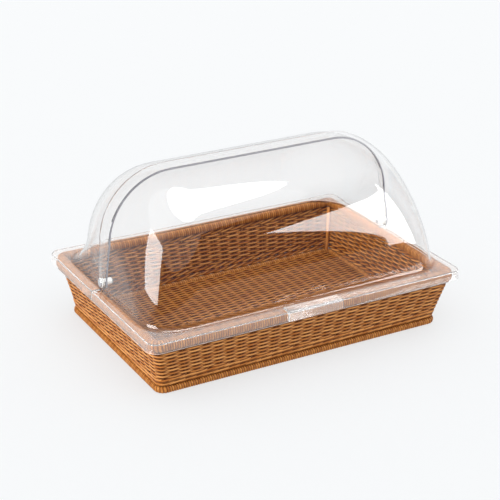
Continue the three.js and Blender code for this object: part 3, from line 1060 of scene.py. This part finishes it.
@dataclass
class ClearCover:
    """The two clear shells, each one moulding with its flange and skirt.

    Attributes:
        sheet: Thickness of the sheet.
        flange_top: Height of the flange's upper face.
        half_length: Flange's outer edge from the middle, at the ends.
        half_width: The same at the front and the back.
        centre_y: Y of the flange's middle.
        flange_corner: Outer corners of the flange, seen from above.
        edge_rounding: Rounding between flange and skirt.
        edge_steps: Steps of that rounding.
        skirt_drop: From the flange's upper face to the skirt's lower edge.
        skirt_draft: How far the skirt spreads on its way down.
        foot_flare: How far the front and back walls curve out into the flange.
        end_flare: How far the end walls curve out into the flange.
        flare_height: Height of that curve.
        flare_steps: Steps of that curve.
        shoulder: Upper corners of the rear shell.
        foot_corner: The same corners where they reach the flange.
        foot_draft: Lean of an end wall near the flange.
        pad: Radius of the flat pad round a pivot.
        wall_steps: Steps of an end wall, from the pad to the corner.
        corner_steps: Steps of a corner.
        span_steps: Steps from the corner to the middle.
        dome_step: Angle from one row of the dome to the next, in degrees.
        pivot: A point on the pivot axis.
        lid_setback: The lid's rear edge behind the pivot axis.
        tail_start: Where the lid's flange begins to stay off the rim, behind the pivot axis.
        rear_reach: The rear shell's front edge ahead of the pivot axis.
        ear_drop: How far below the axis the rear shell's ear starts to slant back.
        ear_foot: Height over the flange at which it ends.
        seat_gap: Gap between pieces that touch.
        lip_rounding: Rounding of the handle's edges.
    """

    sheet: float = 2 * MM
    flange_corner: float = 14 * MM
    edge_rounding: float = 1.6 * MM
    edge_steps: int = 4
    skirt_drop: float = 12.5 * MM
    skirt_draft: float = 1 * MM
    foot_flare: float = 6 * MM
    end_flare: float = 2.5 * MM
    flare_height: float = 6 * MM
    flare_steps: int = 8
    shoulder: float = 88 * MM
    foot_corner: float = 42 * MM
    foot_draft: float = 2 * MM
    pad: float = 10 * MM
    wall_steps: int = 6
    corner_steps: int = 18
    span_steps: int = 6
    dome_step: int = 3
    lid_setback: float = 10.2 * MM
    tail_start: float = 3 * MM
    rear_reach: float = 9 * MM
    ear_drop: float = 4 * MM
    ear_foot: float = 1.5 * MM
    seat_gap: float = 0.3 * MM
    lip_rounding: float = 0.35 * MM
    pivot: Vector = field(init=False)
    flange_top: float = field(init=False)
    half_length: float = field(init=False)
    half_width: float = field(init=False)
    centre_y: float = field(init=False)

    def __post_init__(self) -> None:
        """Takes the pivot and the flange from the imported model."""
        hinge = next(joint for joint in frame["joints"] if joint["name"] == "lid_roll")
        self.pivot = Vector(hinge["pos_m"])
        low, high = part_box("rear_skirt")
        front_low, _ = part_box("front_skirt")
        self.flange_top = low.z + self.skirt_drop
        self.half_length = high.x - self.skirt_draft
        self.half_width = (high.y - front_low.y) / 2 - self.skirt_draft
        self.centre_y = (high.y + front_low.y) / 2

    @property
    def rear_form(self) -> ShellForm:
        """The rear shell's own sizes."""
        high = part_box("rear_shell")[1]
        return ShellForm(high.z - self.pivot.z, high.x, draft=6 * MM, flare_start=66, easing=4)

    @property
    def lid_form(self) -> ShellForm:
        """The lid's own sizes.

        Returns:
            The sizes.
        """
        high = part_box("front_shell")[1]
        radius = high.z - self.pivot.z
        step = radius - self.rear_form.radius
        return ShellForm(radius, high.x, draft=4 * MM, flare_start=20, easing=2, step=step)

    def across(self, end_at_pad: float, end_at_corner: float, depth: float, corner: float) -> Profile:
        """Half an outline around the pivot axis, from the left end to the right end.

        Args:
            end_at_pad: X of the end wall at the pivot's pad.
            end_at_corner: X of the end wall where the corner starts.
            depth: Distance of the straight span from the axis.
            corner: Radius of the corner.

        Returns:
            Points as X and the distance from the axis.
        """
        quarter = [(end_at_pad, 0.0), (end_at_pad, self.pad / 2), (end_at_pad, self.pad)]
        for share in shares(self.wall_steps)[1:]:
            x = end_at_pad + (end_at_corner - end_at_pad) * share
            quarter.append((x, self.pad + (depth - corner - self.pad) * share))
        for share in shares(self.corner_steps)[1:]:
            angle = share * TURN / 4
            x = end_at_corner - corner + corner * math.cos(angle)
            quarter.append((x, depth - corner + corner * math.sin(angle)))
        for share in shares(self.span_steps)[1:]:
            quarter.append(((end_at_corner - corner) * (1 - share), depth))
        left = [(-x, distance) for x, distance in quarter]
        return left + quarter[-2::-1]

    def angle_at(self, form: ShellForm, height: float) -> float:
        """The angle from straight up of a height below the pivot, counted on down the wall."""
        return 90 + math.degrees((self.pivot.z - height) / form.radius)

    def tightened(self, form: ShellForm, angle: float) -> float:
        """How far the corners have tightened at an angle from straight up, from 0 to 1 at the flange."""
        whole = self.angle_at(form, self.flange_top) - form.flare_start
        return max((angle - form.flare_start) / whole, 0) ** form.easing

    def corner_at(self, form: ShellForm, share: float) -> float:
        """The corners' radius once they have tightened by a share."""
        return self.shoulder + (self.foot_corner - self.shoulder) * share + form.step

    def draft_at(self, form: ShellForm, share: float) -> float:
        """The end wall's lean where the corners have tightened by a share."""
        return form.draft + (self.foot_draft - form.draft) * share

    def dome_row(self, form: ShellForm, angle: float) -> list[Vector]:
        """A row of the dome.

        Args:
            form: The shell's sizes.
            angle: The row's angle from straight up in degrees, positive to the back.

        Returns:
            The row's points.
        """
        share = self.tightened(form, abs(angle))
        turn = math.radians(angle)
        end_at_corner = form.end - self.draft_at(form, share)
        outline = self.across(form.end, end_at_corner, form.radius, self.corner_at(form, share))
        return [
            Vector((x, self.pivot.y + reach * math.sin(turn), self.pivot.z + reach * math.cos(turn)))
            for x, reach in outline
        ]

    def level_row(self, side: int, height: float, *outline: float) -> list[Vector]:
        """A level row with the outline that across gives, at the front (side -1) or the back (side 1)."""
        return [Vector((x, self.pivot.y + side * reach, height)) for x, reach in self.across(*outline)]

    def edge_row(self, side: int, height: float, outset: float) -> list[Vector]:
        """A level row round the flange's edge.

        Args:
            side: -1 for the front, 1 for the back.
            height: The row's height.
            outset: How far it lies outside the flange's edge.

        Returns:
            The row's points.
        """
        length = self.half_length + outset
        depth = self.half_width + outset + side * (self.centre_y - self.pivot.y)
        return self.level_row(side, height, length, length, depth, self.flange_corner + outset)

    def foot_rows(self, form: ShellForm, side: int) -> list[list[Vector]]:
        """The rows that curve out into the flange and run down the skirt.

        Args:
            form: The shell's sizes.
            side: -1 for the front, 1 for the back.

        Returns:
            The rows, from the wall to the skirt's lower edge.
        """
        rows = []
        for share in shares(self.flare_steps):
            angle = share * TURN / 4
            spread = 1 - math.cos(angle)
            height = self.flange_top + self.flare_height * (1 - math.sin(angle))
            tight = self.tightened(form, self.angle_at(form, height))
            rows.append(self.level_row(
                side,
                height,
                form.end + self.end_flare * spread,
                form.end - self.draft_at(form, tight) * (1 - spread) + self.end_flare * spread,
                form.radius + self.foot_flare * spread,
                self.corner_at(form, tight) + self.foot_flare * spread,
            ))
        for share in shares(self.edge_steps):
            angle = share * TURN / 4
            height = self.flange_top - self.edge_rounding * (1 - math.cos(angle))
            rows.append(self.edge_row(side, height, -self.edge_rounding * (1 - math.sin(angle))))
        rows.append(self.edge_row(side, self.flange_top - self.skirt_drop, self.skirt_draft))
        return rows

    def outer_face(self, form: ShellForm) -> bmesh.types.BMesh:
        """The outer face of a whole shell, from the front skirt over the dome to the back one.

        Args:
            form: The shell's sizes.

        Returns:
            The face.
        """
        dome = [self.dome_row(form, angle) for angle in range(-90, 91, self.dome_step)]
        rows = self.foot_rows(form, -1)[::-1] + dome + self.foot_rows(form, 1)
        shape = bmesh.new()
        for vert, column, row in Piece.grid(shape, len(rows[0]) - 1, len(rows) - 1):
            vert.co = rows[row][column]
        Piece.close_up(shape)
        return shape

    @staticmethod
    def cut(shape: bmesh.types.BMesh, point: Sequence[float], normal: Sequence[float]) -> None:
        """Cuts all faces along a plane and keeps both sides."""
        everything = shape.verts[:] + shape.edges[:] + shape.faces[:]
        bmesh.ops.bisect_plane(shape, geom=everything, dist=CUT_REACH, plane_co=point, plane_no=normal)

    @staticmethod
    def drop(shape: bmesh.types.BMesh, unwanted: Callable[[Vector], bool]) -> None:
        """Deletes the faces whose middle is unwanted."""
        faces = [face for face in shape.faces if unwanted(face.calc_center_median())]
        bmesh.ops.delete(shape, geom=faces, context="FACES")

    def thickened(self, name: str, shape: bmesh.types.BMesh, body: Body, nodes: Sequence[str]) -> None:
        """Gives a shell its thickness, inwards, with a sawn edge, and makes it a piece.

        Args:
            name: The piece's name.
            shape: The outer face.
            body: The body that the shell rides on.
            nodes: The CAD nodes that it stands for.
        """
        finishes = (CLEAR, FLANGE, CUT_EDGE, FLANGE_EDGE)
        hairs_breadth, full_weight = 0.05 * MM, 100
        for face in shape.faces:
            if face.calc_center_median().z < self.flange_top + hairs_breadth:
                face.material_index = finishes.index(FLANGE)
        materials = [finish.material() for finish in finishes]
        piece = Piece.finished(name, shape, body, "clear_sheet", materials, nodes)
        wall = piece.modifiers.new("sheet", "SOLIDIFY")
        wall.thickness = self.sheet
        wall.offset = -1
        wall.use_even_offset = True
        wall.use_quality_normals = True
        wall.material_offset_rim = finishes.index(CUT_EDGE)
        even = piece.modifiers.new("even_shading", "WEIGHTED_NORMAL")
        even.mode = "FACE_AREA"
        even.weight = full_weight

    def front_shell(self) -> None:
        """Forms the lid: all ahead of its rear edge, with its flange's tails kept off the rim."""
        shape = self.outer_face(self.lid_form)
        split = self.pivot.y + self.lid_setback
        tail_y = self.pivot.y + self.tail_start
        tail_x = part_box("top_border")[1].x + self.seat_gap
        tail_z = self.flange_top + self.flare_height
        for y in (split, tail_y):
            self.cut(shape, (0, y, 0), (0, 1, 0))
        for x in (tail_x, -tail_x):
            self.cut(shape, (x, 0, 0), (1, 0, 0))
        self.cut(shape, (0, 0, tail_z), UP)
        self.drop(shape, lambda middle: middle.y > split)
        self.drop(shape, lambda middle: middle.y > tail_y and abs(middle.x) < tail_x and middle.z < tail_z)
        nodes = ["front_shell", "front_flange", "front_skirt"]
        self.thickened("front_shell_moulding", shape, Body.LID, nodes)

    def rear_shell(self) -> None:
        """Forms the rear shell: its ears reach past the pivots, and its flange starts behind the lid's."""
        shape = self.outer_face(self.rear_form)
        front = Vector((0, self.pivot.y - self.rear_reach, self.pivot.z - self.ear_drop))
        back = Vector((0, self.pivot.y + self.lid_setback + self.seat_gap, self.flange_top + self.ear_foot))
        slant = back - front
        below = Vector((0, slant.z, -slant.y))
        for point, normal in ((front, (0, 1, 0)), (front, UP), (back, (0, 1, 0)), (front, below)):
            self.cut(shape, point, normal)
        self.drop(shape, lambda middle: middle.y < front.y)
        self.drop(shape, lambda middle: middle.y < back.y and (middle - front).dot(below) > 0)
        nodes = ["rear_shell", "rear_flange", "rear_skirt"]
        self.thickened("rear_shell_moulding", shape, Body.COVER, nodes)

    def handle(self) -> None:
        """Forms the frosted finger lip, as its CAD node but with rounded edges."""
        same_point, same_plane = 0.01 * MM, math.radians(1)
        shape = bmesh.new()
        shape.from_mesh(frame["nodes"]["front_handle"].data)
        bmesh.ops.remove_doubles(shape, verts=shape.verts, dist=same_point)
        bmesh.ops.dissolve_limit(shape, angle_limit=same_plane, verts=shape.verts, edges=shape.edges)
        bmesh.ops.bevel(
            shape,
            geom=shape.edges[:],
            offset=self.lip_rounding,
            segments=3,
            profile=0.5,
            affect="EDGES",
            material=-1,
        )
        bmesh.ops.recalc_face_normals(shape, faces=shape.faces)
        finish = [FROSTED.material()]
        Piece.finished("front_handle_lip", shape, Body.LID, "frosted_clear", finish, ["front_handle"])

    def build(self) -> None:
        """Builds both shells and the handle."""
        self.rear_shell()
        self.front_shell()
        self.handle()


# Pivots


@dataclass
class Pivot:
    """The turned pieces of one pivot, seated where their CAD nodes are.

    Attributes:
        end: The end of the cover.
        centre: A point on the axis.
        bore: Radius of the washers' and the sleeve's bore.
        pin_radius: Radius of the pin's shaft.
        rounding: Rounding of the outer edges.
        head_gap: From the head washer to the pin's head.
    """

    end: End
    centre: Vector
    bore: float = 2.6 * MM
    pin_radius: float = 2.3 * MM
    rounding: float = 0.25 * MM
    head_gap: float = 0.3 * MM

    def named(self, node: str) -> str:
        """A node's or a piece's name with its end."""
        return f"{node}_{self.end.name.lower()}"

    def span(self, node: str) -> tuple[float, float, float]:
        """Reads a turned CAD node.

        Args:
            node: The node's name, without its end.

        Returns:
            Its inner end and its outer end, as distances from the middle, and its radius.
        """
        low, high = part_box(self.named(node))
        inner, outer = sorted((abs(low.x), abs(high.x)))
        return inner, outer, (high.z - low.z) / 2

    @staticmethod
    def domed(base: float, top: float, radius: float, steps: int = 6) -> Profile:
        """A rounded crown.

        Args:
            base: Where its rim is, along the axis.
            top: Where it meets the axis.
            radius: The rim's radius.
            steps: The number of steps from the rim to the axis.

        Returns:
            Its profile.
        """
        angles = [share * TURN / 4 for share in shares(steps)]
        return [(base + (top - base) * math.sin(angle), radius * math.cos(angle)) for angle in angles]

    def finished(self, piece: str, node: str, profile: Profile, finish: Solid, slot: str) -> None:
        """Turns a profile and makes it a piece of the cover."""
        shape = Piece.turned(profile, self.centre, self.end)
        Piece.finished(self.named(piece), shape, Body.COVER, slot, [finish.material()], [self.named(node)])

    def ring(self, node: str, piece: str, ribs: int = 0) -> None:
        """Turns a bored nylon piece with rounded edges.

        Args:
            node: The CAD node that it replaces, without its end.
            piece: The piece's name, without its end.
            ribs: The number of grooves round it.
        """
        inner, outer, radius = self.span(node)
        soft = min(self.rounding, (outer - inner) / 3)
        profile = [(inner, self.bore), (inner, radius - soft), (inner + soft, radius)]
        for rib in range(ribs):
            middle = inner + (outer - inner) * (rib + 1) / (ribs + 1)
            profile += [(middle - soft, radius), (middle, radius - soft), (middle + soft, radius)]
        profile += [(outer - soft, radius), (outer, radius - soft), (outer, self.bore), (inner, self.bore)]
        self.finished(piece, node, profile, NYLON, "white_nylon")

    def build(self) -> None:
        """Builds all pieces of the pivot."""
        self.ring("spacer_washer", "spacer_ring")
        self.ring("head_washer", "head_ring")
        self.ring("pivot_sleeve", "sleeve_tube", ribs=1)
        inner, outer, radius = self.span("sleeve_cap")
        shoulder = inner + (outer - inner) / 3
        cap = [(outer, 0.0), (outer, radius), *self.domed(shoulder, inner, radius)]
        self.finished("sleeve_end_cap", "sleeve_cap", cap, GREY_CAP, "grey_cap")
        inner, outer, radius = self.span("pivot_pin")
        head = self.span("head_washer")[1] + self.head_gap
        pin = [(inner, 0.0), (inner, self.pin_radius), (head, self.pin_radius), (head, radius)]
        pin += self.domed(head + (outer - head) / 3, outer, radius)
        self.finished("headed_pin", "pivot_pin", pin, PIN_STEEL, "steel_pin")


# Studio


@dataclass(frozen=True)
class SoftBox:
    """A flat studio light that shows in the clear shells.

    Attributes:
        name: The light's name.
        place: Where it stands.
        aim: What it points at.
        size: Its width and height.
        radiance: How bright its face is, where a white floor is about 1.
        round_face: Whether its face is round, not rectangular.
        lights_object: Whether it lights the object, or only shows in it.
    """

    name: str
    place: tuple[float, float, float]
    aim: tuple[float, float, float]
    size: tuple[float, float]
    radiance: float
    round_face: bool = False
    lights_object: bool = False

    def build(self, unlit: bpy.types.Collection) -> None:
        """Sets up the light.

        Args:
            unlit: A collection whose objects the light leaves alone.
        """
        data = bpy.data.lights.new(self.name, "AREA")
        data.shape = "ELLIPSE" if self.round_face else "RECTANGLE"
        data.size, data.size_y = self.size
        face = self.size[0] * self.size[1] * (math.pi / 4 if self.round_face else 1)
        data.energy = self.radiance * math.pi * face
        light = bpy.data.objects.new(self.name, data)
        light.location = self.place
        light.rotation_euler = (Vector(self.aim) - Vector(self.place)).to_track_quat("-Z", "Y").to_euler()
        light.visible_diffuse = self.lights_object
        light.light_linking.receiver_collection = unlit
        bpy.context.scene.collection.objects.link(light)


@dataclass
class Studio:
    """A pale seamless floor, a pale sky, an even light and three soft boxes.

    Attributes:
        floor_colour: Colour of the floor.
        floor_roughness: Roughness of the floor.
        floor_reach: From its middle to its edges.
        floor_glow: How far the floor is lit from below, which keeps its shadows faint.
        dark_front: Colour of the studio ahead of the object, which shows only mirrored in the lid.
        front_from: Where the dark front begins, along Y.
        front_to: Where it is fully dark.
        lid_faces: Faces of the sheet that a ray passes on its way through the lid.
        sky_colour: Colour of the sky.
        sky_strength: How bright the sky is.
        boxes: The soft boxes.
        sun_from: The direction that the even light from above comes from.
        sun_strength: How bright that light is.
        sun_spread: How wide it is, as an angle.
    """

    floor_colour: Colour = (0.26, 0.264, 0.2665)
    floor_roughness: float = 0.9
    floor_reach: float = 6.0
    floor_glow: float = 2.43
    dark_front: Colour = (0.10, 0.10, 0.10)
    front_from: float = -0.1
    front_to: float = -0.4
    lid_faces: int = 2
    sky_colour: Colour = (0.985, 0.99, 1.0)
    sky_strength: float = 0.94
    boxes: tuple[SoftBox, ...] = (
        SoftBox("left_box", (-3.0, -0.5, 1.7), (0, -0.5, 1.7), (1.6, 2.7), 6.8, lights_object=True),
        SoftBox("right_box", (2.6, -2.7, 1.72), (0, -2.7, 1.72), (2.8, 3.45), 6.5),
        SoftBox("top_box", (0.45, -0.1, 3.0), (0.45, -0.1, 0), (2.12, 2.12), 5.5, round_face=True),
    )
    sun_from: tuple[float, float, float] = (-0.2, -0.3, 1.0)
    sun_strength: float = 0.65
    sun_spread: float = math.radians(80)

    def darkened(self, graph: Graph, place: Socket, colour: Colour) -> Socket:
        """A colour that turns dark in the part of the studio ahead, as the lid's near faces mirror it.

        Args:
            graph: The floor's or the sky's nodes.
            place: A place on the floor, or a direction in the sky.
            colour: The colour everywhere else, and for all rays that the lid doesn't mirror.

        Returns:
            The colour's socket.
        """
        path = graph.add("ShaderNodeLightPath", {}).outputs
        y = graph.add("ShaderNodeSeparateXYZ", {"Vector": place}).outputs["Y"]
        ahead = graph.add("ShaderNodeMapRange", {
            "Value": y, "From Min": self.front_from, "From Max": self.front_to,
        }).outputs["Result"]
        near = graph.maths("LESS_THAN", path["Transmission Depth"], self.lid_faces + 0.5)
        near_and_ahead = graph.maths("MULTIPLY", ahead, near)
        mirrored = graph.maths("MULTIPLY", near_and_ahead, path["Glossy Depth"], clamp=True)
        return graph.mixed(mirrored, (*colour, 1), (*self.dark_front, 1))

    def floor(self) -> bpy.types.Object:
        """Lays the floor.

        Returns:
            The floor.
        """
        shape = bmesh.new()
        bmesh.ops.create_grid(shape, x_segments=1, y_segments=1, size=self.floor_reach)
        data = bpy.data.meshes.new("studio_floor")
        shape.to_mesh(data)
        shape.free()
        made, graph, shader = Graph.of_material("studio_floor")
        place = graph.add("ShaderNodeTexCoord", {}).outputs["Object"]
        colour = self.darkened(graph, place, self.floor_colour)
        graph.feed(shader, {
            "Base Color": colour,
            "Roughness": self.floor_roughness,
            "Emission Color": colour,
            "Emission Strength": self.floor_glow,
        })
        data.materials.append(made)
        piece = bpy.data.objects.new("studio_floor", data)
        bpy.context.scene.collection.objects.link(piece)
        return piece

    def sky(self) -> None:
        """Sets the pale light from all round."""
        world = bpy.data.worlds.new("studio_sky")
        world.use_nodes = True
        graph = Graph(world.node_tree)
        place = graph.add("ShaderNodeTexCoord", {}).outputs["Generated"]
        colour = self.darkened(graph, place, self.sky_colour)
        graph.feed(world.node_tree.nodes["Background"], {"Color": colour, "Strength": self.sky_strength})
        bpy.context.scene.world = world

    def even_light(self) -> None:
        """Sets a broad light from above that falls on the whole floor alike."""
        data = bpy.data.lights.new("even_light", "SUN")
        data.energy = self.sun_strength
        data.angle = self.sun_spread
        light = bpy.data.objects.new("even_light", data)
        light.rotation_euler = Vector(self.sun_from).to_track_quat("Z", "Y").to_euler()
        bpy.context.scene.collection.objects.link(light)

    def build(self) -> None:
        """Builds the studio; the boxes leave the floor alone, so that it stays even."""
        unlit = bpy.data.collections.new("left_alone_by_boxes")
        unlit.objects.link(self.floor())
        for member in unlit.collection_objects:
            member.light_linking.link_state = "EXCLUDE"
        self.sky()
        self.even_light()
        for box in self.boxes:
            box.build(unlit)
        bpy.context.scene.view_settings.view_transform = "Standard"


@dataclass(frozen=True)
class Viewpoint:
    """The photograph's viewing angle.

    Attributes:
        azimuth: Degrees to the right of straight from the front.
        elevation: Degrees above the horizon.
        distance: From the camera to the point that it looks at.
        target: That point.
        focal_pixels: Focal length in pixels of a frame that is frame_pixels wide.
        frame_pixels: Width and height of the frame.
        shift_pixels: How far the photograph is shifted right and down in the frame.
    """

    azimuth: float = -29.108
    elevation: float = 23.452
    distance: float = 1.9344
    target: tuple[float, float, float] = (0.0, 0.0014, 0.1)
    focal_pixels: float = 1430.67
    frame_pixels: int = 500
    shift_pixels: tuple[float, float] = (2.43, -0.15)

    def build(self) -> None:
        """Sets up the camera."""
        turn, lift = math.radians(self.azimuth), math.radians(self.elevation)
        back = Vector((math.sin(turn) * math.cos(lift), -math.cos(turn) * math.cos(lift), math.sin(lift)))
        data = bpy.data.cameras.new("camera")
        data.lens = self.focal_pixels / self.frame_pixels * data.sensor_width
        data.shift_x = -self.shift_pixels[0] / self.frame_pixels
        data.shift_y = self.shift_pixels[1] / self.frame_pixels
        camera = bpy.data.objects.new("camera", data)
        camera.location = Vector(self.target) + back * self.distance
        camera.rotation_euler = (-back).to_track_quat("-Z", "Y").to_euler()
        bpy.context.scene.collection.objects.link(camera)
        bpy.context.scene.camera = camera


def main() -> None:
    """Builds the camera, the object and its studio; each piece logs its face count."""
    logging.basicConfig(level=logging.INFO, format="%(name)s: %(message)s")
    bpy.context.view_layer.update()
    Viewpoint().build()
    WovenBasket().build()
    cover = ClearCover()
    cover.build()
    for end in End:
        Pivot(end, cover.pivot).build()
    Studio().build()


if __name__ == "__main__":
    main()
